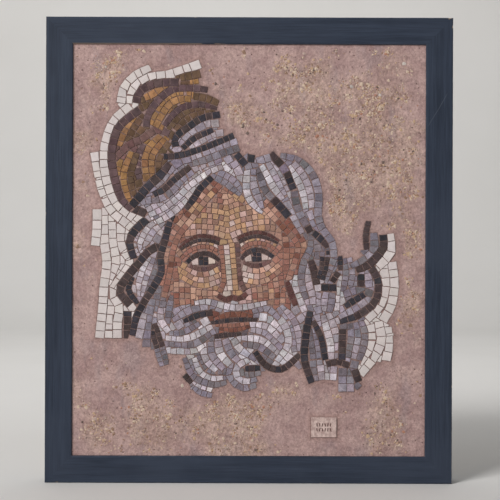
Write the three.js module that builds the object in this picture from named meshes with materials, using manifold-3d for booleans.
// Mosaic panel: a picture of cut marble stones on a bed of pink lime mortar, inside a painted wood frame.
// Millimetres, +Z up. The picture faces -Y and +X is to the viewer's right.
// The origin is the middle of the back, on the wall plane y = 0.
import * as THREE from 'three';
import { mergeVertices } from 'three/addons/utils/BufferGeometryUtils.js';
import Module from 'manifold-3d';

const wasm = await Module();
wasm.setup();

// ---------- driving dimensions ----------
const WIDTH = 450;            // over the frame
const HEIGHT = 515;
const DEPTH = 32;             // wall to the front of the frame
const RAIL = 30;              // width of a rail
const ARRIS = 1.2;            // worn bevel on the rails' front edges
const BOARD = 6;              // thickness of the backing board
const BED_BACK = 2.5;         // the mortar's face lies this far behind the frame's front
const PROUD = 1.3;            // the stones stand this far out of the mortar
const GAP = 0.3;              // clearance between pieces that touch
const FLANK = 0.9;            // a band of stones spreads this far at its foot on each side
const JOINT = 0.9;            // joint between two rows of stones
const JOINT_DEPTH = 0.7;
const TAPER = 0.3;            // share of a band's length over which its width draws in at an end
const STRETCH = 62;           // a band gets one straight stretch for this length
const BEND = THREE.MathUtils.degToRad(38);  // and one for each such bend

// The face: its middle line, the height of its eyes, and its lean.
const MIDDLE_X = -21;
const EYE_LINE = -8;
const LEAN = THREE.MathUtils.degToRad(4);

// The small stone tile low on the right.
const TILE = { x: 83.5, z: -195.5, width: 28, height: 22, proud: 1.6, foot: 6 };
// Two rows of short cuts in it stand for the writing. They aren't letters.
const STROKE = { columns: 6, pitch: 3.4, width: 0.8, height: 3.2, depth: 0.4, rowPitch: 6.4 };

const bedFace = -(DEPTH - BED_BACK);
const stoneFoot = bedFace - GAP;
const stoneFace = bedFace - PROUD;
const insideX = WIDTH / 2 - RAIL - GAP;
const insideZ = HEIGHT / 2 - RAIL - GAP;

// ---------- finishes ----------
const paint = { color: 0x38424f, roughness: 0.55, metalness: 0 };
const boardWood = { color: 0x8a7254, roughness: 0.8, metalness: 0 };
const mortar = { color: 0xa58f87, roughness: 0.95, metalness: 0 };
const marble = {
  white: 0xcdc4c1, chalk: 0xbeb8ba, pearl: 0xaa9ca0, lavender: 0x908893, blueGrey: 0x7c7988, slate: 0x68646e,
  charcoal: 0x34343c, umber: 0x463c3a, wine: 0x5c484a, rosewood: 0x785856, ochre: 0xa57848, amber: 0xac763e,
  olive: 0x6a5440, tan: 0xa3806c, terracotta: 0x8c6250, rust: 0x804e3a, maroon: 0x603e38, cream: 0xc3aaa5,
};

function stone(name) {
  return { color: marble[name], roughness: 0.5, metalness: 0 };
}

const panel = new THREE.Group();

function addNode(name, geometry, finish) {
  const mesh = new THREE.Mesh(geometry, new THREE.MeshStandardMaterial(finish));
  mesh.name = name;
  panel.add(mesh);
}

// ---------- solids ----------
function toSolid(geometry) {
  const bare = geometry.clone();
  bare.deleteAttribute('normal');
  bare.deleteAttribute('uv');
  const merged = mergeVertices(bare, 1e-4);
  const vertProperties = new Float32Array(merged.attributes.position.array);
  const triVerts = new Uint32Array(merged.index.array);
  return new wasm.Manifold(new wasm.Mesh({ numProp: 3, vertProperties, triVerts }));
}

function toGeometry(solid) {
  const mesh = solid.getMesh();
  const geometry = new THREE.BufferGeometry();
  geometry.setAttribute('position', new THREE.BufferAttribute(new Float32Array(mesh.vertProperties), 3));
  geometry.setIndex(new THREE.BufferAttribute(new Uint32Array(mesh.triVerts), 1));
  return geometry;
}

function boxBetween(x0, x1, y0, y1, z0, z1) {
  const box = new THREE.BoxGeometry(x1 - x0, y1 - y0, z1 - z0);
  box.translate((x0 + x1) / 2, (y0 + y1) / 2, (z0 + z1) / 2);
  return box;
}

// The largest of the bodies that a cut leaves.
function mainBody(solid) {
  const bodies = solid.decompose();
  return bodies.reduce((best, body) => (body.volume() > best.volume() ? body : best));
}

// ---------- frame: four mitred rails ----------
// A rail's section runs from the opening outwards and from the wall forwards. Each point of it reaches from
// one mitre to the other, so it is as long as its own distance from the panel's middle allows.
function railGeometry(length) {
  const section = [
    [0, 0], [RAIL, 0], [RAIL, DEPTH - ARRIS], [RAIL - ARRIS, DEPTH], [ARRIS, DEPTH], [0, DEPTH - ARRIS],
  ];
  const points = [];
  for (const end of [-1, 1]) {
    for (const [outward, forward] of section) {
      points.push(end * (length / 2 - RAIL + outward - GAP / 2), -forward, outward);
    }
  }
  const count = section.length;
  const index = [];
  for (let i = 0; i < count; i += 1) {
    const next = (i + 1) % count;
    index.push(i, next, count + i, next, count + next, count + i);
  }
  for (let i = 1; i < count - 1; i += 1) {
    index.push(0, i + 1, i, count, count + i, count + i + 1);
  }
  const geometry = new THREE.BufferGeometry();
  geometry.setAttribute('position', new THREE.Float32BufferAttribute(points, 3));
  geometry.setIndex(index);
  return geometry;
}

function addRail(name, length, distance, turn) {
  const geometry = railGeometry(length);
  geometry.translate(0, 0, distance - RAIL);
  geometry.rotateY(turn);
  addNode(name, geometry, paint);
}

addRail('frame_rail_top', WIDTH, HEIGHT / 2, 0);
addRail('frame_rail_right', HEIGHT, WIDTH / 2, Math.PI / 2);
addRail('frame_rail_bottom', WIDTH, HEIGHT / 2, Math.PI);
addRail('frame_rail_left', HEIGHT, WIDTH / 2, -Math.PI / 2);

// ---------- backing board ----------
addNode('backing_board', boxBetween(-insideX, insideX, -BOARD, 0, -insideZ, insideZ), boardWood);

// ---------- mortar bed, with a seat for the tile ----------
function tileBox(margin, front, back) {
  const halfWidth = TILE.width / 2 + margin;
  const halfHeight = TILE.height / 2 + margin;
  return toSolid(boxBetween(
    TILE.x - halfWidth, TILE.x + halfWidth, front, back, TILE.z - halfHeight, TILE.z + halfHeight,
  ));
}

const tileFace = bedFace - TILE.proud;
const tileBack = bedFace + TILE.foot;
const slab = toSolid(boxBetween(-insideX, insideX, bedFace, -BOARD - GAP, -insideZ, insideZ));
const seat = tileBox(GAP, tileFace, tileBack + GAP);
addNode('mortar_bed', toGeometry(slab.subtract(seat)), mortar);

// ---------- signature tile ----------
function strokeCuts() {
  const cuts = [];
  for (const row of [-1, 1]) {
    for (let column = 0; column < STROKE.columns; column += 1) {
      const x = TILE.x + (column - (STROKE.columns - 1) / 2) * STROKE.pitch;
      const z = TILE.z + (row * STROKE.rowPitch) / 2;
      const cut = boxBetween(
        x - STROKE.width / 2, x + STROKE.width / 2, tileFace - 1, tileFace + STROKE.depth,
        z - STROKE.height / 2, z + STROKE.height / 2,
      );
      cuts.push(toSolid(cut));
    }
  }
  return wasm.Manifold.union(cuts);
}

addNode('signature_tile', toGeometry(tileBox(0, tileFace, tileBack).subtract(strokeCuts())), stone('cream'));

// ---------- bands of stones ----------
// The picture is set in bands, each a few rows of stones wide. A band is: the stone of each of its rows,
// a row's width, the points x, z of its middle line, and the share of its width that is left at its two ends.
// The first row lies on the left of the way along the band. The bands stand on the mortar's face.
const PLAIN_ENDS = [1, 1];
const SAMPLES = 90;             // fine steps along a curve, to measure it

// How far a curve turns in all, left and right alike.
function turning(curve) {
  const points = curve.getSpacedPoints(SAMPLES);
  let total = 0;
  for (let i = 1; i < SAMPLES; i += 1) {
    const before = points[i].clone().sub(points[i - 1]);
    const after = points[i + 1].clone().sub(points[i]);
    total += Math.abs(Math.atan2(before.cross(after), before.dot(after)));
  }
  return total;
}

// Middle line, direction and width at even steps along a band. reach runs past both its ends.
function stations([stones, rowWidth, points, ends = PLAIN_ENDS], reach) {
  const curve = new THREE.SplineCurve(points.map(([x, z]) => new THREE.Vector2(x, z)));
  const count = Math.max(1, Math.round(turning(curve) / BEND + curve.getLength() / STRETCH));
  const middle = curve.getSpacedPoints(count);
  const fullWidth = rowWidth * stones.split(' ').length;
  const line = middle.map((point, i) => {
    const along = middle[Math.min(i + 1, count)].clone().sub(middle[Math.max(i - 1, 0)]).normalize();
    const start = THREE.MathUtils.lerp(ends[0], 1, Math.min(1, i / count / TAPER));
    const finish = THREE.MathUtils.lerp(ends[1], 1, Math.min(1, (1 - i / count) / TAPER));
    return { point: point.clone(), along, width: fullWidth * Math.min(start, finish) };
  });
  line[0].point.addScaledVector(line[0].along, -reach);
  line[count].point.addScaledVector(line[count].along, reach);
  return line;
}

// Carries a section along the stations. section(width) gives its points: across to the left, and y.
function sweep(line, section) {
  const outline = section(line[0].width);
  const count = outline.length;
  const points = [];
  for (const { point, along, width } of line) {
    for (const [across, y] of section(width)) {
      points.push(point.x - along.y * across, y, point.y + along.x * across);
    }
  }
  const index = [];
  for (let i = 0; i < line.length - 1; i += 1) {
    for (let j = 0; j < count; j += 1) {
      const a = i * count + j;
      const b = i * count + ((j + 1) % count);
      index.push(a, a + count, b, b, a + count, b + count);
    }
  }
  const last = (line.length - 1) * count;
  const contour = outline.map(([across, y]) => new THREE.Vector2(across, y));
  for (const [a, b, c] of THREE.ShapeUtils.triangulateShape(contour, [])) {
    index.push(a, b, c);
    index.push(last + a, last + c, last + b);
  }
  const vertProperties = new Float32Array(points);
  const triVerts = new Uint32Array(index);
  return new wasm.Manifold(new wasm.Mesh({ numProp: 3, vertProperties, triVerts }));
}

// The solid of a band: sloping flanks, flat stone faces, and a groove between one row and the next.
function bandSolid(band) {
  const rows = band[0].split(' ').length;
  return sweep(stations(band, 0), (width) => {
    const foot = width / 2 + FLANK;
    const rowWidth = width / rows;
    const section = [[-foot, stoneFoot]];
    for (let row = 0; row < rows; row += 1) {
      const from = -width / 2 + row * rowWidth;
      if (row > 0) section.push([from, stoneFace + JOINT_DEPTH]);
      section.push([from + JOINT / 2, stoneFace], [from + rowWidth - JOINT / 2, stoneFace]);
    }
    section.push([foot, stoneFoot]);
    return section;
  });
}

// The room that a band needs in its neighbours.
function bandRoom(band) {
  return sweep(stations(band, GAP), (width) => {
    const half = width / 2 + FLANK + GAP;
    return [[-half, bedFace], [-half, stoneFace - 1], [half, stoneFace - 1], [half, bedFace]];
  });
}

// Bands drawn in the face's own measures, u across from its middle line and v up, placed on the panel.
function onFace(bands, side = 1) {
  return bands.map(([stones, width, points, ends]) => {
    const placed = points.map(([u, v]) => [
      MIDDLE_X + side * u * Math.cos(LEAN) - (v - EYE_LINE) * Math.sin(LEAN),
      EYE_LINE + side * u * Math.sin(LEAN) + (v - EYE_LINE) * Math.cos(LEAN),
    ]);
    return [stones, width, placed, ends];
  });
}

const faceEye = [
  ['umber', 4.2, [[14, -9], [21, -2], [31, 0], [39, -3], [45, -10]]],
  ['charcoal charcoal', 4.6, [[29, -3.5], [29, -13.5]]],
  ['ivory', 7.5, [[24, -8.5], [17.5, -9.5]], [1, 0.55]],
  ['ivory', 7.5, [[34, -8.5], [40.5, -9.5]], [1, 0.55]],
  ['rosewood', 4, [[15, -12], [25, -17.5], [36, -17], [44, -12]]],
];

const faceBrow = [
  ['maroon', 6, [[11, 7], [20, 13], [31, 16], [43, 13], [53, 6]], [1, 0.7]],
];

const faceNose = [
  ['chalk', 5.4, [[-3, 2], [-2, -46]]],
  ['honey', 5.4, [[3, 4], [4, -46]]],
  ['rust', 4.2, [[-9, 6], [-7, -14], [-8, -34], [-14, -47]]],
  ['maroon', 4.6, [[10, 7], [8, -12], [9, -34], [14, -47]]],
  ['maroon', 5.4, [[-15, -50], [-8, -55], [0, -53], [8, -55], [15, -50]]],
];

const faceLips = [
  ['umber', 4, [[-26, -79.5], [0, -78], [26, -79.5]], [0.7, 0.7]],
  ['rust', 5.6, [[-22, -76], [-6, -71], [0, -72.5], [6, -71], [22, -76]], [0.7, 0.7]],
  ['terracotta', 8, [[-17, -84], [0, -86], [17, -84]], [0.6, 0.6]],
];

const hairCrownBack = [
  ['charcoal', 7, [[-81, 114], [-83, 126], [-62, 143], [-33, 151]]],
  ['charcoal', 6, [[-97, 98], [-75, 105], [-45, 115], [-17, 127]]],
  ['charcoal', 6, [[-74, 112], [-60, 124], [-40, 133]], [0.8, 0.8]],
  ['lavender', 8, [[-77, 115], [-62, 131], [-49, 138]], [0.5, 1]],
  ['pearl', 7, [[-66, 113], [-42, 127], [-28, 130]], [0.6, 1]],
];

const hairCrownFront = [
  ['charcoal', 9, [[-131, 50], [-118, 72], [-98, 90], [-90, 98]], [0.8, 0.8]],
  ['umber', 8, [[-113, 60], [-90, 75], [-65, 92]], [0.6, 0.8]],
  ['charcoal', 6, [[-71, 45], [-60, 64], [-42, 80]], [0.7, 1]],
  ['blueGrey lavender', 6.5, [[-112, 66], [-92, 86], [-60, 104], [-14, 120]], [0.7, 1]],
  ['slate', 9, [[-68, 91], [-55, 98], [-22, 107]], [0.6, 1]],
  ['pearl chalk', 8, [[-106, 38], [-80, 60], [-54, 85], [-30, 97]], [0.7, 0.8]],
  ['chalk', 8, [[-104, 32], [-84, 46], [-66, 60]], [0.8, 0.6]],
];

const hairParting = [
  ['charcoal', 7, [[-20, 111], [-6, 97]]],
  ['lavender', 8, [[-6, 101], [8, 102]], [0.8, 0.8]],
  ['pearl', 8, [[8, 103], [24, 99]]],
];

const hairForelock = [
  ['chalk', 7.5, [[-1, 91], [-2, 68], [8, 51], [15, 42]], [0.8, 0.3]],
  ['lavender', 8, [[8, 92], [6, 74], [15, 48]], [0.8, 0.4]],
];

const hairForelockLeft = [
  ['lavender', 7, [[-36, 97], [-16, 88], [-6, 76]], [0.8, 0.6]],
  ['blueGrey blueGrey', 7, [[-42, 86], [-22, 76], [-8, 62]], [0.8, 0.5]],
  ['chalk', 7, [[-28, 92], [-18, 84]], [1, 0.7]],
];

const hairTempleLeft = [
  ['charcoal', 8, [[-128, 46], [-111, 36], [-125, 22], [-132, 8], [-127, -9]], [1, 0.8]],
  ['charcoal', 7, [[-83, 43], [-93, 14], [-98, -15], [-104, -40], [-122, -66], [-128, -94]], [0.8, 0.9]],
  ['umber', 8, [[-97, 4], [-112, -4], [-130, -28], [-140, -47], [-129, -62]]],
  ['umber', 8, [[-134, -69], [-134, -98]]],
  ['pearl chalk pearl', 7, [[-93, 40], [-112, 24], [-121, 4], [-115, -6]], [0.7, 0.5]],
  ['chalk pearl slate', 6.5, [[-107, -10], [-121, -32], [-120, -52]], [0.6, 0.5]],
  ['lavender', 9, [[-116, -67], [-121, -98]], [0.8, 1]],
  ['blueGrey', 9, [[-110, -62], [-114, -80], [-114, -106]], [0.6, 1]],
];

const hairRightUpper = [
  ['charcoal', 7, [[12, 95], [18, 70], [36, 49], [45, 38]], [0.8, 1]],
  ['umber', 8, [[24, 107], [37, 94], [49, 66]], [1, 0.8]],
  ['umber', 7, [[65, 26], [63, 20]]],
  ['chalk pearl lavender', 6.8, [[20, 97], [31, 72], [48, 48], [60, 26]], [0.7, 0.6]],
  ['slate', 7, [[50, 62], [56, 45], [63, 29]], [0.7, 0.8]],
  ['chalk pearl chalk', 6.8, [[43, 96], [57, 78], [66, 54], [69, 42]], [0.8, 0.5]],
  ['blueGrey', 8, [[31, 105], [55, 101], [74, 80], [78, 45], [95, 10], [93, -12]], [0.7, 0.8]],
];

const hairCurlRight = [
  ['charcoal', 6.5, [[69, 18], [83, 9], [86, -8], [79, -30]], [1, 0.7]],
  ['umber', 7, [[77, -4], [73, -18], [75, -36]], [1, 0.7]],
  ['charcoal', 6, [[81, -42], [94, -40]]],
  ['slate', 7, [[75, 9], [72, 0]], [0.8, 0.8]],
  ['blueGrey', 8, [[87, -14], [83, -30], [78, -40]], [0.7, 0.6]],
  ['blueGrey slate', 6, [[66, 16], [65, -6], [58, -26], [61, -48]], [0.8, 0.6]],
  ['pearl', 7.5, [[69, -12], [66, -30], [71, -52]], [0.8, 0.6]],
  ['lavender', 8, [[74, -40], [73, -56], [77, -69]], [0.6, 0.8]],
  ['chalk', 7.5, [[52, -27], [51, -42], [63, -71]], [0.6, 0.8]],
  ['lavender', 9, [[85, -45], [84, -68]], [0.8, 0.8]],
  ['maroon', 6, [[45, -36], [47, -48], [52, -61]], [0.5, 0.8]],
];

const hairWispRight = [
  ['slate', 5, [[101, -6], [103, -19]], [0.6, 0.6]],
  ['umber', 6, [[132, 33], [129, 17], [130, 1]], [0.8, 0.8]],
  ['umber', 8, [[147, 18], [147, -3], [130, -17], [117, -22]], [1, 0.7]],
  ['umber', 7, [[134, -17], [144, -34], [139, -57], [120, -72], [101, -79]], [1, 0.6]],
  ['charcoal', 6.5, [[124, -26], [124, -40]]],
  ['charcoal', 5.5, [[128, -47], [106, -63]], [0.9, 0.7]],
  ['blueGrey', 9, [[138, 21], [138, -2], [126, -13], [116, -18]], [0.8, 0.7]],
  ['blueGrey blueGrey', 6, [[108, -9], [107, -30], [104, -53]], [0.8, 0.8]],
  ['chalk', 7.5, [[102, -34], [96, -50], [98, -67]], [0.7, 0.8]],
  ['lavender', 7.5, [[131, -26], [133, -38], [127, -46]], [0.8, 0.8]],
  ['lavender', 7.5, [[137, -49], [120, -62], [102, -74]], [0.8, 0.6]],
  ['blueGrey', 8, [[116, -24], [112, -52]], [0.8, 0.7]],
];

const hairFallRight = [
  ['charcoal', 7, [[67, -71], [61, -98], [63, -124], [74, -147]], [0.8, 0.9]],
  ['charcoal', 6, [[70, -75], [82, -97], [85, -121]], [0.7, 1]],
  ['umber', 7, [[104, -89], [104, -120]]],
  ['umber', 5.5, [[87, -124], [110, -126]]],
  ['slate lavender', 8, [[115, -79], [123, -96], [116, -121]], [0.6, 0.8]],
  ['lavender', 7, [[111, -90], [112, -119]], [0.8, 0.8]],
  ['pearl', 8, [[85, -71], [95, -90], [97, -121]], [0.6, 0.9]],
  ['chalk', 8, [[80, -78], [90, -98], [93, -121]], [0.5, 0.9]],
  ['slate pearl', 6, [[70, -87], [75, -104], [78, -122]], [0.7, 1]],
  ['pearl chalk', 8, [[76, -126], [82, -137], [97, -140]], [0.8, 0.8]],
  ['blueGrey blueGrey', 8, [[105, -133], [108, -157]]],
  ['umber', 7, [[110, -128], [124, -140]], [0.8, 0.9]],
];

const moustache = [
  ['charcoal', 6, [[-72, -79], [-56, -72], [-40, -69]], [0.6, 1]],
  ['chalk', 6.5, [[-60, -59], [-46, -57], [-22, -63], [-4, -63], [20, -58]], [0.6, 0.6]],
  ['lavender', 8, [[-84, -78], [-64, -66], [-42, -62], [-20, -69]], [0.5, 0.8]],
  ['blueGrey', 7, [[4, -68], [20, -64], [34, -76]], [0.6, 0.6]],
];

const beardLeft = [
  ['chalk', 7, [[-97, -64], [-97, -78], [-88, -91]], [0.7, 0.8]],
  ['slate', 6.5, [[-85, -50], [-88, -66], [-90, -82]], [0.4, 0.8]],
  ['blueGrey', 6, [[-88, -92], [-72, -91], [-54, -81]], [0.7, 0.7]],
];

const hairTuftLeft = [
  ['umber', 7, [[-107, -84], [-103, -93], [-97, -109]], [0.8, 1]],
  ['slate blueGrey', 6, [[-99, -106], [-93, -128]], [1, 0.8]],
];

const beardChin = [
  ['umber', 5, [[-28, -94], [-15, -95], [-2, -93]], [0.7, 0.7]],
  ['chalk', 7, [[-92, -97], [-66, -97], [-40, -84]], [0.8, 0.7]],
  ['slate', 7, [[-88, -104], [-60, -103], [-36, -91], [0, -91]], [0.7, 0.7]],
  ['chalk', 7, [[-86, -112], [-60, -111], [-50, -104]], [0.7, 0.8]],
  ['chalk', 7, [[-50, -102], [-48, -120], [-35, -134]], [0.8, 0.7]],
  ['lavender', 7.5, [[-42, -101], [-40, -117], [-27, -132]], [0.8, 0.7]],
  ['chalk', 8.5, [[-34, -100], [-31, -115], [-20, -127]], [0.8, 0.7]],
  ['lavender', 8, [[-26, -98], [-20, -113], [-11, -123]], [0.8, 0.7]],
  ['chalk', 7.5, [[-17, -98], [-10, -109], [1, -117]], [0.8, 0.7]],
];

const beardCurlLeft = [
  ['umber', 6, [[-71, -138], [-63, -147]], [1, 0.8]],
  ['slate', 6.5, [[-71, -119], [-61, -140], [-38, -149], [-24, -146]], [0.7, 0.7]],
  ['chalk', 6, [[-60, -119], [-54, -134], [-42, -142], [-28, -141]], [0.8, 0.7]],
  ['slate', 6, [[-52, -121], [-44, -133], [-28, -135]], [0.8, 0.7]],
  ['chalk', 6, [[-67, -128], [-59, -146], [-40, -155]], [0.7, 0.7]],
  ['blueGrey', 6, [[-64, -147], [-54, -157], [-40, -161]], [0.7, 0.8]],
];

const beardCurlMiddle = [
  ['charcoal', 6, [[-4, -131], [13, -130]], [0.8, 0.8]],
  ['chalk', 7, [[1, -121], [-13, -129], [-11, -143], [2, -145]], [0.7, 0.8]],
  ['blueGrey', 7, [[-19, -124], [-21, -139], [-8, -152], [9, -149]], [0.7, 0.8]],
  ['slate', 7, [[-4, -138], [14, -135]], [0.8, 0.8]],
];

const beardRight = [
  ['umber', 6.5, [[7, -112], [20, -128], [38, -131], [57, -115]], [0.8, 0.8]],
  ['chalk', 7, [[8, -82], [22, -85], [33, -96]], [0.6, 0.8]],
  ['lavender', 7, [[2, -88], [18, -91], [31, -103]], [0.6, 0.8]],
  ['chalk', 7, [[-8, -97], [14, -99], [30, -111]], [0.6, 0.7]],
  ['slate', 7, [[-7, -104], [12, -107], [29, -119]], [0.6, 0.8]],
  ['lavender', 7, [[-5, -112], [8, -120], [16, -126]], [0.8, 0.7]],
];

const beardEdgeRight = [
  ['chalk', 7.5, [[16, -62], [38, -80], [44, -103], [31, -123]], [0.7, 0.7]],
  ['pearl lavender', 7, [[34, -62], [49, -84], [54, -112]], [0.5, 0.8]],
  ['lavender', 8, [[51, -122], [58, -131]], [1, 0.5]],
];

const capRimUpper = [
  ['wine', 8, [[-122, 158], [-119, 175], [-95, 187], [-55, 189]]],
  ['olive', 8, [[-78, 193], [-54, 197]], [0.6, 1]],
];

const capRimLower = [
  ['wine', 8, [[-130, 45], [-143, 60], [-152, 100], [-147, 132], [-125, 154]], [0.8, 1]],
];

const capUpper = [
  ['wine amber ochre olive', 7.6, [[-105, 138], [-95, 161], [-70, 173], [-40, 168]], [0.9, 0.9]],
  ['ochre', 8, [[-115, 162], [-106, 174], [-86, 181]], [0.8, 0.7]],
  ['wine', 6, [[-92, 139], [-75, 156], [-36, 157]], [0.8, 0.8]],
  ['olive', 9, [[-82, 135], [-68, 149], [-46, 153]], [0.6, 0.7]],
];

const capLower = [
  ['rosewood', 8, [[-146, 102], [-126, 122], [-98, 133], [-87, 127]], [0.8, 0.8]],
  ['ochre olive', 7.2, [[-139, 113], [-128, 136], [-117, 152]], [0.8, 0.8]],
  ['amber olive', 7.2, [[-130, 57], [-135, 82], [-127, 108]], [0.8, 0.8]],
  ['wine', 7, [[-121, 78], [-124, 98], [-117, 117]], [0.8, 0.8]],
  ['ochre ochre olive', 7.4, [[-107, 84], [-107, 104], [-93, 123]], [0.9, 0.8]],
];

const groundLeft = [
  ['white', 9.4, [[-133, 160], [-127, 184], [-101, 194], [-54, 205]]],
  ['white', 9.4, [[-143, 166], [-134, 190], [-107, 202]]],
  ['white', 9.4, [[-127, 35], [-147, 52], [-158, 80], [-160, 112], [-150, 142], [-131, 159]]],
  ['white', 9.4, [[-134, 28], [-152, 44], [-164, 72], [-171, 108]]],
  ['white', 9.4, [[-170, 4], [-168, 24], [-168, 45]]],
  ['white', 9.4, [[-165, -98], [-162, -70], [-160, -40], [-157, -14], [-160, 10], [-161, 38]]],
  ['white', 9.4, [[-155, -32], [-147, -14], [-151, 8], [-152, 31]]],
  ['white', 9.4, [[-145, -98], [-145, -80], [-143, -63], [-150, -45], [-131, -15], [-142, 6], [-141, 29]]],
  ['white', 9.4, [[-154, -98], [-153, -62]]],
];

const groundRight = [
  ['white', 9.4, [[154, 20], [156, -3], [140, -18]]],
  ['white', 9.4, [[146, -22], [151, -42], [144, -63], [129, -76]]],
  ['white', 9.4, [[157, -13], [162, -38], [158, -62], [149, -80]]],
  ['white', 9.4, [[134, -81], [135, -104], [121, -125]]],
  ['white', 9.4, [[143, -78], [147, -98], [140, -116], [123, -137]]],
  ['white', 9.4, [[153, -84], [155, -104], [152, -122]]],
];

// ---------- skin ----------
// Outline of the bare skin on the panel, where the hair and the moustache leave off.
const SKIN_EDGE = [
  [-40, 80], [-8, 60], [14, 44], [22, 60], [40, 42], [53, 24], [65, 8], [63, -8], [57, -24], [50, -44],
  [40, -70], [0, -62], [-60, -62], [-104, -62], [-98, -40], [-94, 0], [-88, 22], [-80, 42], [-66, 56],
];
const SKIN_ROW = 7.4;

// A point is on the skin when a line from it to the right crosses the outline an odd number of times.
function onSkin({ x, y: z }) {
  let inside = false;
  SKIN_EDGE.forEach(([ax, az], i) => {
    const [bx, bz] = SKIN_EDGE[(i + 1) % SKIN_EDGE.length];
    const crosses = az > z !== bz > z && x < ((bx - ax) * (z - az)) / (bz - az) + ax;
    if (crosses) inside = !inside;
  });
  return inside;
}

// The stretch of each band that lies on the skin.
function withinSkin(bands) {
  const kept = [];
  for (const [stones, width, points] of bands) {
    const curve = new THREE.SplineCurve(points.map(([x, z]) => new THREE.Vector2(x, z)));
    const run = curve.getSpacedPoints(SAMPLES).filter(onSkin);
    if (run.length > 2) {
      const chosen = [run[0], run[Math.floor(run.length / 2)], run[run.length - 1]];
      kept.push([stones, width, chosen.map((point) => [point.x, point.y])]);
    }
  }
  return kept;
}

function skinRows(count, row) {
  return Array.from({ length: count }, (_, k) => ['tan', SKIN_ROW, row(k * SKIN_ROW)]);
}

const upperLid = [
  ['tan', 7, [[13, 1], [23, 7], [31, 9], [42, 6], [55, -4]]],
];
const underEye = [
  ['tan', 7, [[15, -19], [25, -25], [38, -24], [53, -13]]],
  ['tan', 7.4, [[14, -27], [26, -33], [40, -32], [58, -20]]],
];
const forehead = skinRows(9, (up) => [
  [-72, 14 + up], [-44, 22 + up], [-14, 19 + up], [0, 15 + up], [14, 19 + up], [44, 22 + up], [72, 14 + up],
]);
const cheek = skinRows(6, (out) => [[17 + out, -34 + out / 6], [18 + out, -50], [16 + out, -70]]);
const temple = skinRows(4, (out) => [[61 + out, 30], [63 + out, 0], [60 + out, -34], [54 + out, -66]]);

function cheekBands(side) {
  return [...onFace(underEye, side), ...withinSkin(onFace([...cheek, ...temple], side))];
}

// ---------- setting the stones ----------
// Each node has the colour of most of its stones. Earlier nodes stay whole, and later ones are cut back
// to leave them room.
const LEFT = -1;
const RIGHT = 1;
const setting = [
  ['face_eye_left', 'umber', onFace(faceEye, LEFT)],
  ['face_eye_right', 'umber', onFace(faceEye, RIGHT)],
  ['face_brow_left', 'maroon', onFace(faceBrow, LEFT)],
  ['face_brow_right', 'maroon', onFace(faceBrow, RIGHT)],
  ['face_nose', 'rust', onFace(faceNose)],
  ['face_lips', 'terracotta', onFace(faceLips)],
  ['hair_crown_back', 'slate', hairCrownBack],
  ['hair_crown_front', 'pearl', hairCrownFront],
  ['hair_parting', 'lavender', hairParting],
  ['hair_forelock', 'chalk', hairForelock],
  ['hair_forelock_left', 'blueGrey', hairForelockLeft],
  ['hair_temple_left', 'pearl', hairTempleLeft],
  ['hair_right_upper', 'pearl', hairRightUpper],
  ['hair_curl_right', 'blueGrey', hairCurlRight],
  ['hair_wisp_right', 'lavender', hairWispRight],
  ['hair_fall_right', 'pearl', hairFallRight],
  ['moustache', 'lavender', moustache],
  ['beard_left', 'chalk', beardLeft],
  ['hair_tuft_left', 'slate', hairTuftLeft],
  ['beard_chin', 'chalk', beardChin],
  ['beard_curl_left', 'slate', beardCurlLeft],
  ['beard_curl_middle', 'blueGrey', beardCurlMiddle],
  ['beard_right', 'chalk', beardRight],
  ['beard_edge_right', 'pearl', beardEdgeRight],
  ['cap_rim_upper', 'wine', capRimUpper],
  ['cap_rim_lower', 'wine', capRimLower],
  ['cap_upper', 'ochre', capUpper],
  ['cap_lower', 'olive', capLower],
  ['ground_left', 'white', groundLeft],
  ['ground_right', 'white', groundRight],
  ['face_lid_left', 'tan', onFace(upperLid, LEFT)],
  ['face_lid_right', 'tan', onFace(upperLid, RIGHT)],
  ['face_forehead', 'tan', withinSkin(onFace(forehead))],
  ['face_cheek_left', 'terracotta', cheekBands(LEFT)],
  ['face_cheek_right', 'terracotta', cheekBands(RIGHT)],
];

const taken = [];
for (const [name, colour, bands] of setting) {
  let solid = wasm.Manifold.union(bands.map(bandSolid));
  if (taken.length > 0) solid = solid.subtract(wasm.Manifold.union(taken));
  taken.push(...bands.map(bandRoom));
  addNode(name, toGeometry(mainBody(solid)), stone(colour));
}

export default panel;
